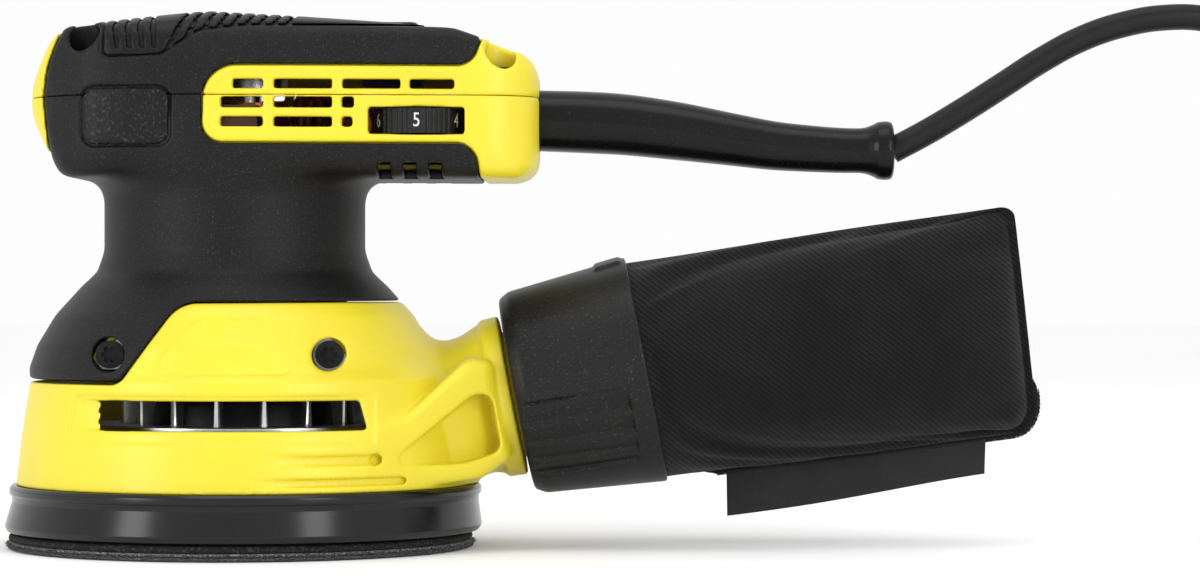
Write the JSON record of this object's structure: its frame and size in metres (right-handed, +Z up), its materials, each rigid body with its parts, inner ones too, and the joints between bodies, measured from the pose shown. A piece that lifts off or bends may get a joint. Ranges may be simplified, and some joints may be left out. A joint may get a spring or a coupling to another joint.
{
  "type": "random orbit sander",
  "caption": "Corded palm-grip random orbit sander with a round pad, skirt, speed thumbwheel, side dust port and a cloth dust bag on a locking collar.",
  "frame": {"origin": "on the motor spindle's axis, at the abrasive face of the sanding disc", "axes": "+Z up along the motor spindle, +X from the spindle towards the dust port and the cord"},
  "size_m": [0.4679, 0.1264, 0.1454],
  "materials": {
    "yellow_plastic": "satin",
    "black_skin": "matte",
    "black_plastic": "satin",
    "skirt_rubber": "gloss",
    "dark_steel": "satin",
    "bright_steel": "satin",
    "cast_alloy": "satin",
    "lamination": "satin",
    "copper_wire": "satin",
    "brass": "satin",
    "carbon": "matte",
    "board": "satin",
    "red_case": "satin",
    "lead_jacket": "satin",
    "foam": "matte",
    "hook_cloth": "matte",
    "abrasive": "matte",
    "twill": "matte",
    "tag_cloth": "matte",
    "cord_rubber": "satin"
  },
  "bodies": {
    "housing": {"base_housing": "yellow_plastic", "motor_housing": "yellow_plastic", "lower_overmould": "black_skin", "top_cover": "yellow_plastic", "top_overmould": "black_skin", "thumb_pad": "black_skin", "side_pads": "black_skin", "badge_plate": "black_plastic", "housing_screws": "dark_steel", "cover_screws": "dark_steel", "dust_skirt": "skirt_rubber", "bearing_plate": "cast_alloy", "lower_bearing": "bright_steel", "upper_bearing": "bright_steel", "stator_core": "lamination", "field_coils": "copper_wire", "brush_holders": "brass", "carbon_brushes": "carbon", "brush_springs": "bright_steel", "circuit_board": "board", "capacitor": "red_case", "choke": "copper_wire", "dial_potentiometer": "black_plastic", "switch_body": "black_plastic", "cord_clamp": "black_plastic", "clamp_screws": "bright_steel", "strain_relief": "cord_rubber", "internal_leads": "lead_jacket", "cord": "cord_rubber", "cord_coil": "cord_rubber", "cord_tie": "hook_cloth", "plug_body": "cord_rubber", "plug_pins": "brass"},
    "rotor": {"shaft": "bright_steel", "armature_core": "lamination", "armature_windings": "copper_wire", "commutator": "copper_wire", "fan": "cast_alloy", "counterweight": "lamination", "pad_bearing": "bright_steel"},
    "pad": {"pad_hub": "bright_steel", "backing_pad": "foam", "hook_face": "hook_cloth", "sanding_disc": "abrasive", "pad_screws": "bright_steel"},
    "dial": {"speed_dial": "black_plastic"},
    "switch": {"switch_rocker": "black_plastic", "switch_boot": "black_skin"},
    "bag": {"bag_adapter": "black_plastic", "bag_seal": "foam", "dust_bag": "twill", "bag_tag": "tag_cloth"},
    "collar": {"lock_collar": "black_plastic"}
  },
  "joints": [
    {"name": "armature_spin", "type": "hinge", "parent": "housing", "child": "rotor", "pos_m": [0, 0, 0.05], "axis": [0, 0, 1], "continuous": true},
    {"name": "pad_spin", "type": "hinge", "parent": "rotor", "child": "pad", "pos_m": [-0.0013, 0, 0.012], "axis": [0, 0, 1], "continuous": true},
    {"name": "dial_turn", "type": "hinge", "parent": "housing", "child": "dial", "pos_m": [0.0472, -0.02063, 0.11], "axis": [0, 0, 1], "range_deg": [-240, 60]},
    {"name": "switch_rock", "type": "hinge", "parent": "housing", "child": "switch", "pos_m": [0.0395, 0, 0.13361], "axis": [0, 1, 0], "range_deg": [0, 5]},
    {"name": "bag_pull_off", "type": "slide", "parent": "housing", "child": "bag", "axis": [0.9816, 0, 0.1908], "range_m": [0, 0.06]},
    {"name": "collar_twist", "type": "hinge", "parent": "bag", "child": "collar", "pos_m": [0.0716, 0, 0.0404], "axis": [0.9816, 0, 0.1908], "range_deg": [0, 25]}
  ]
}
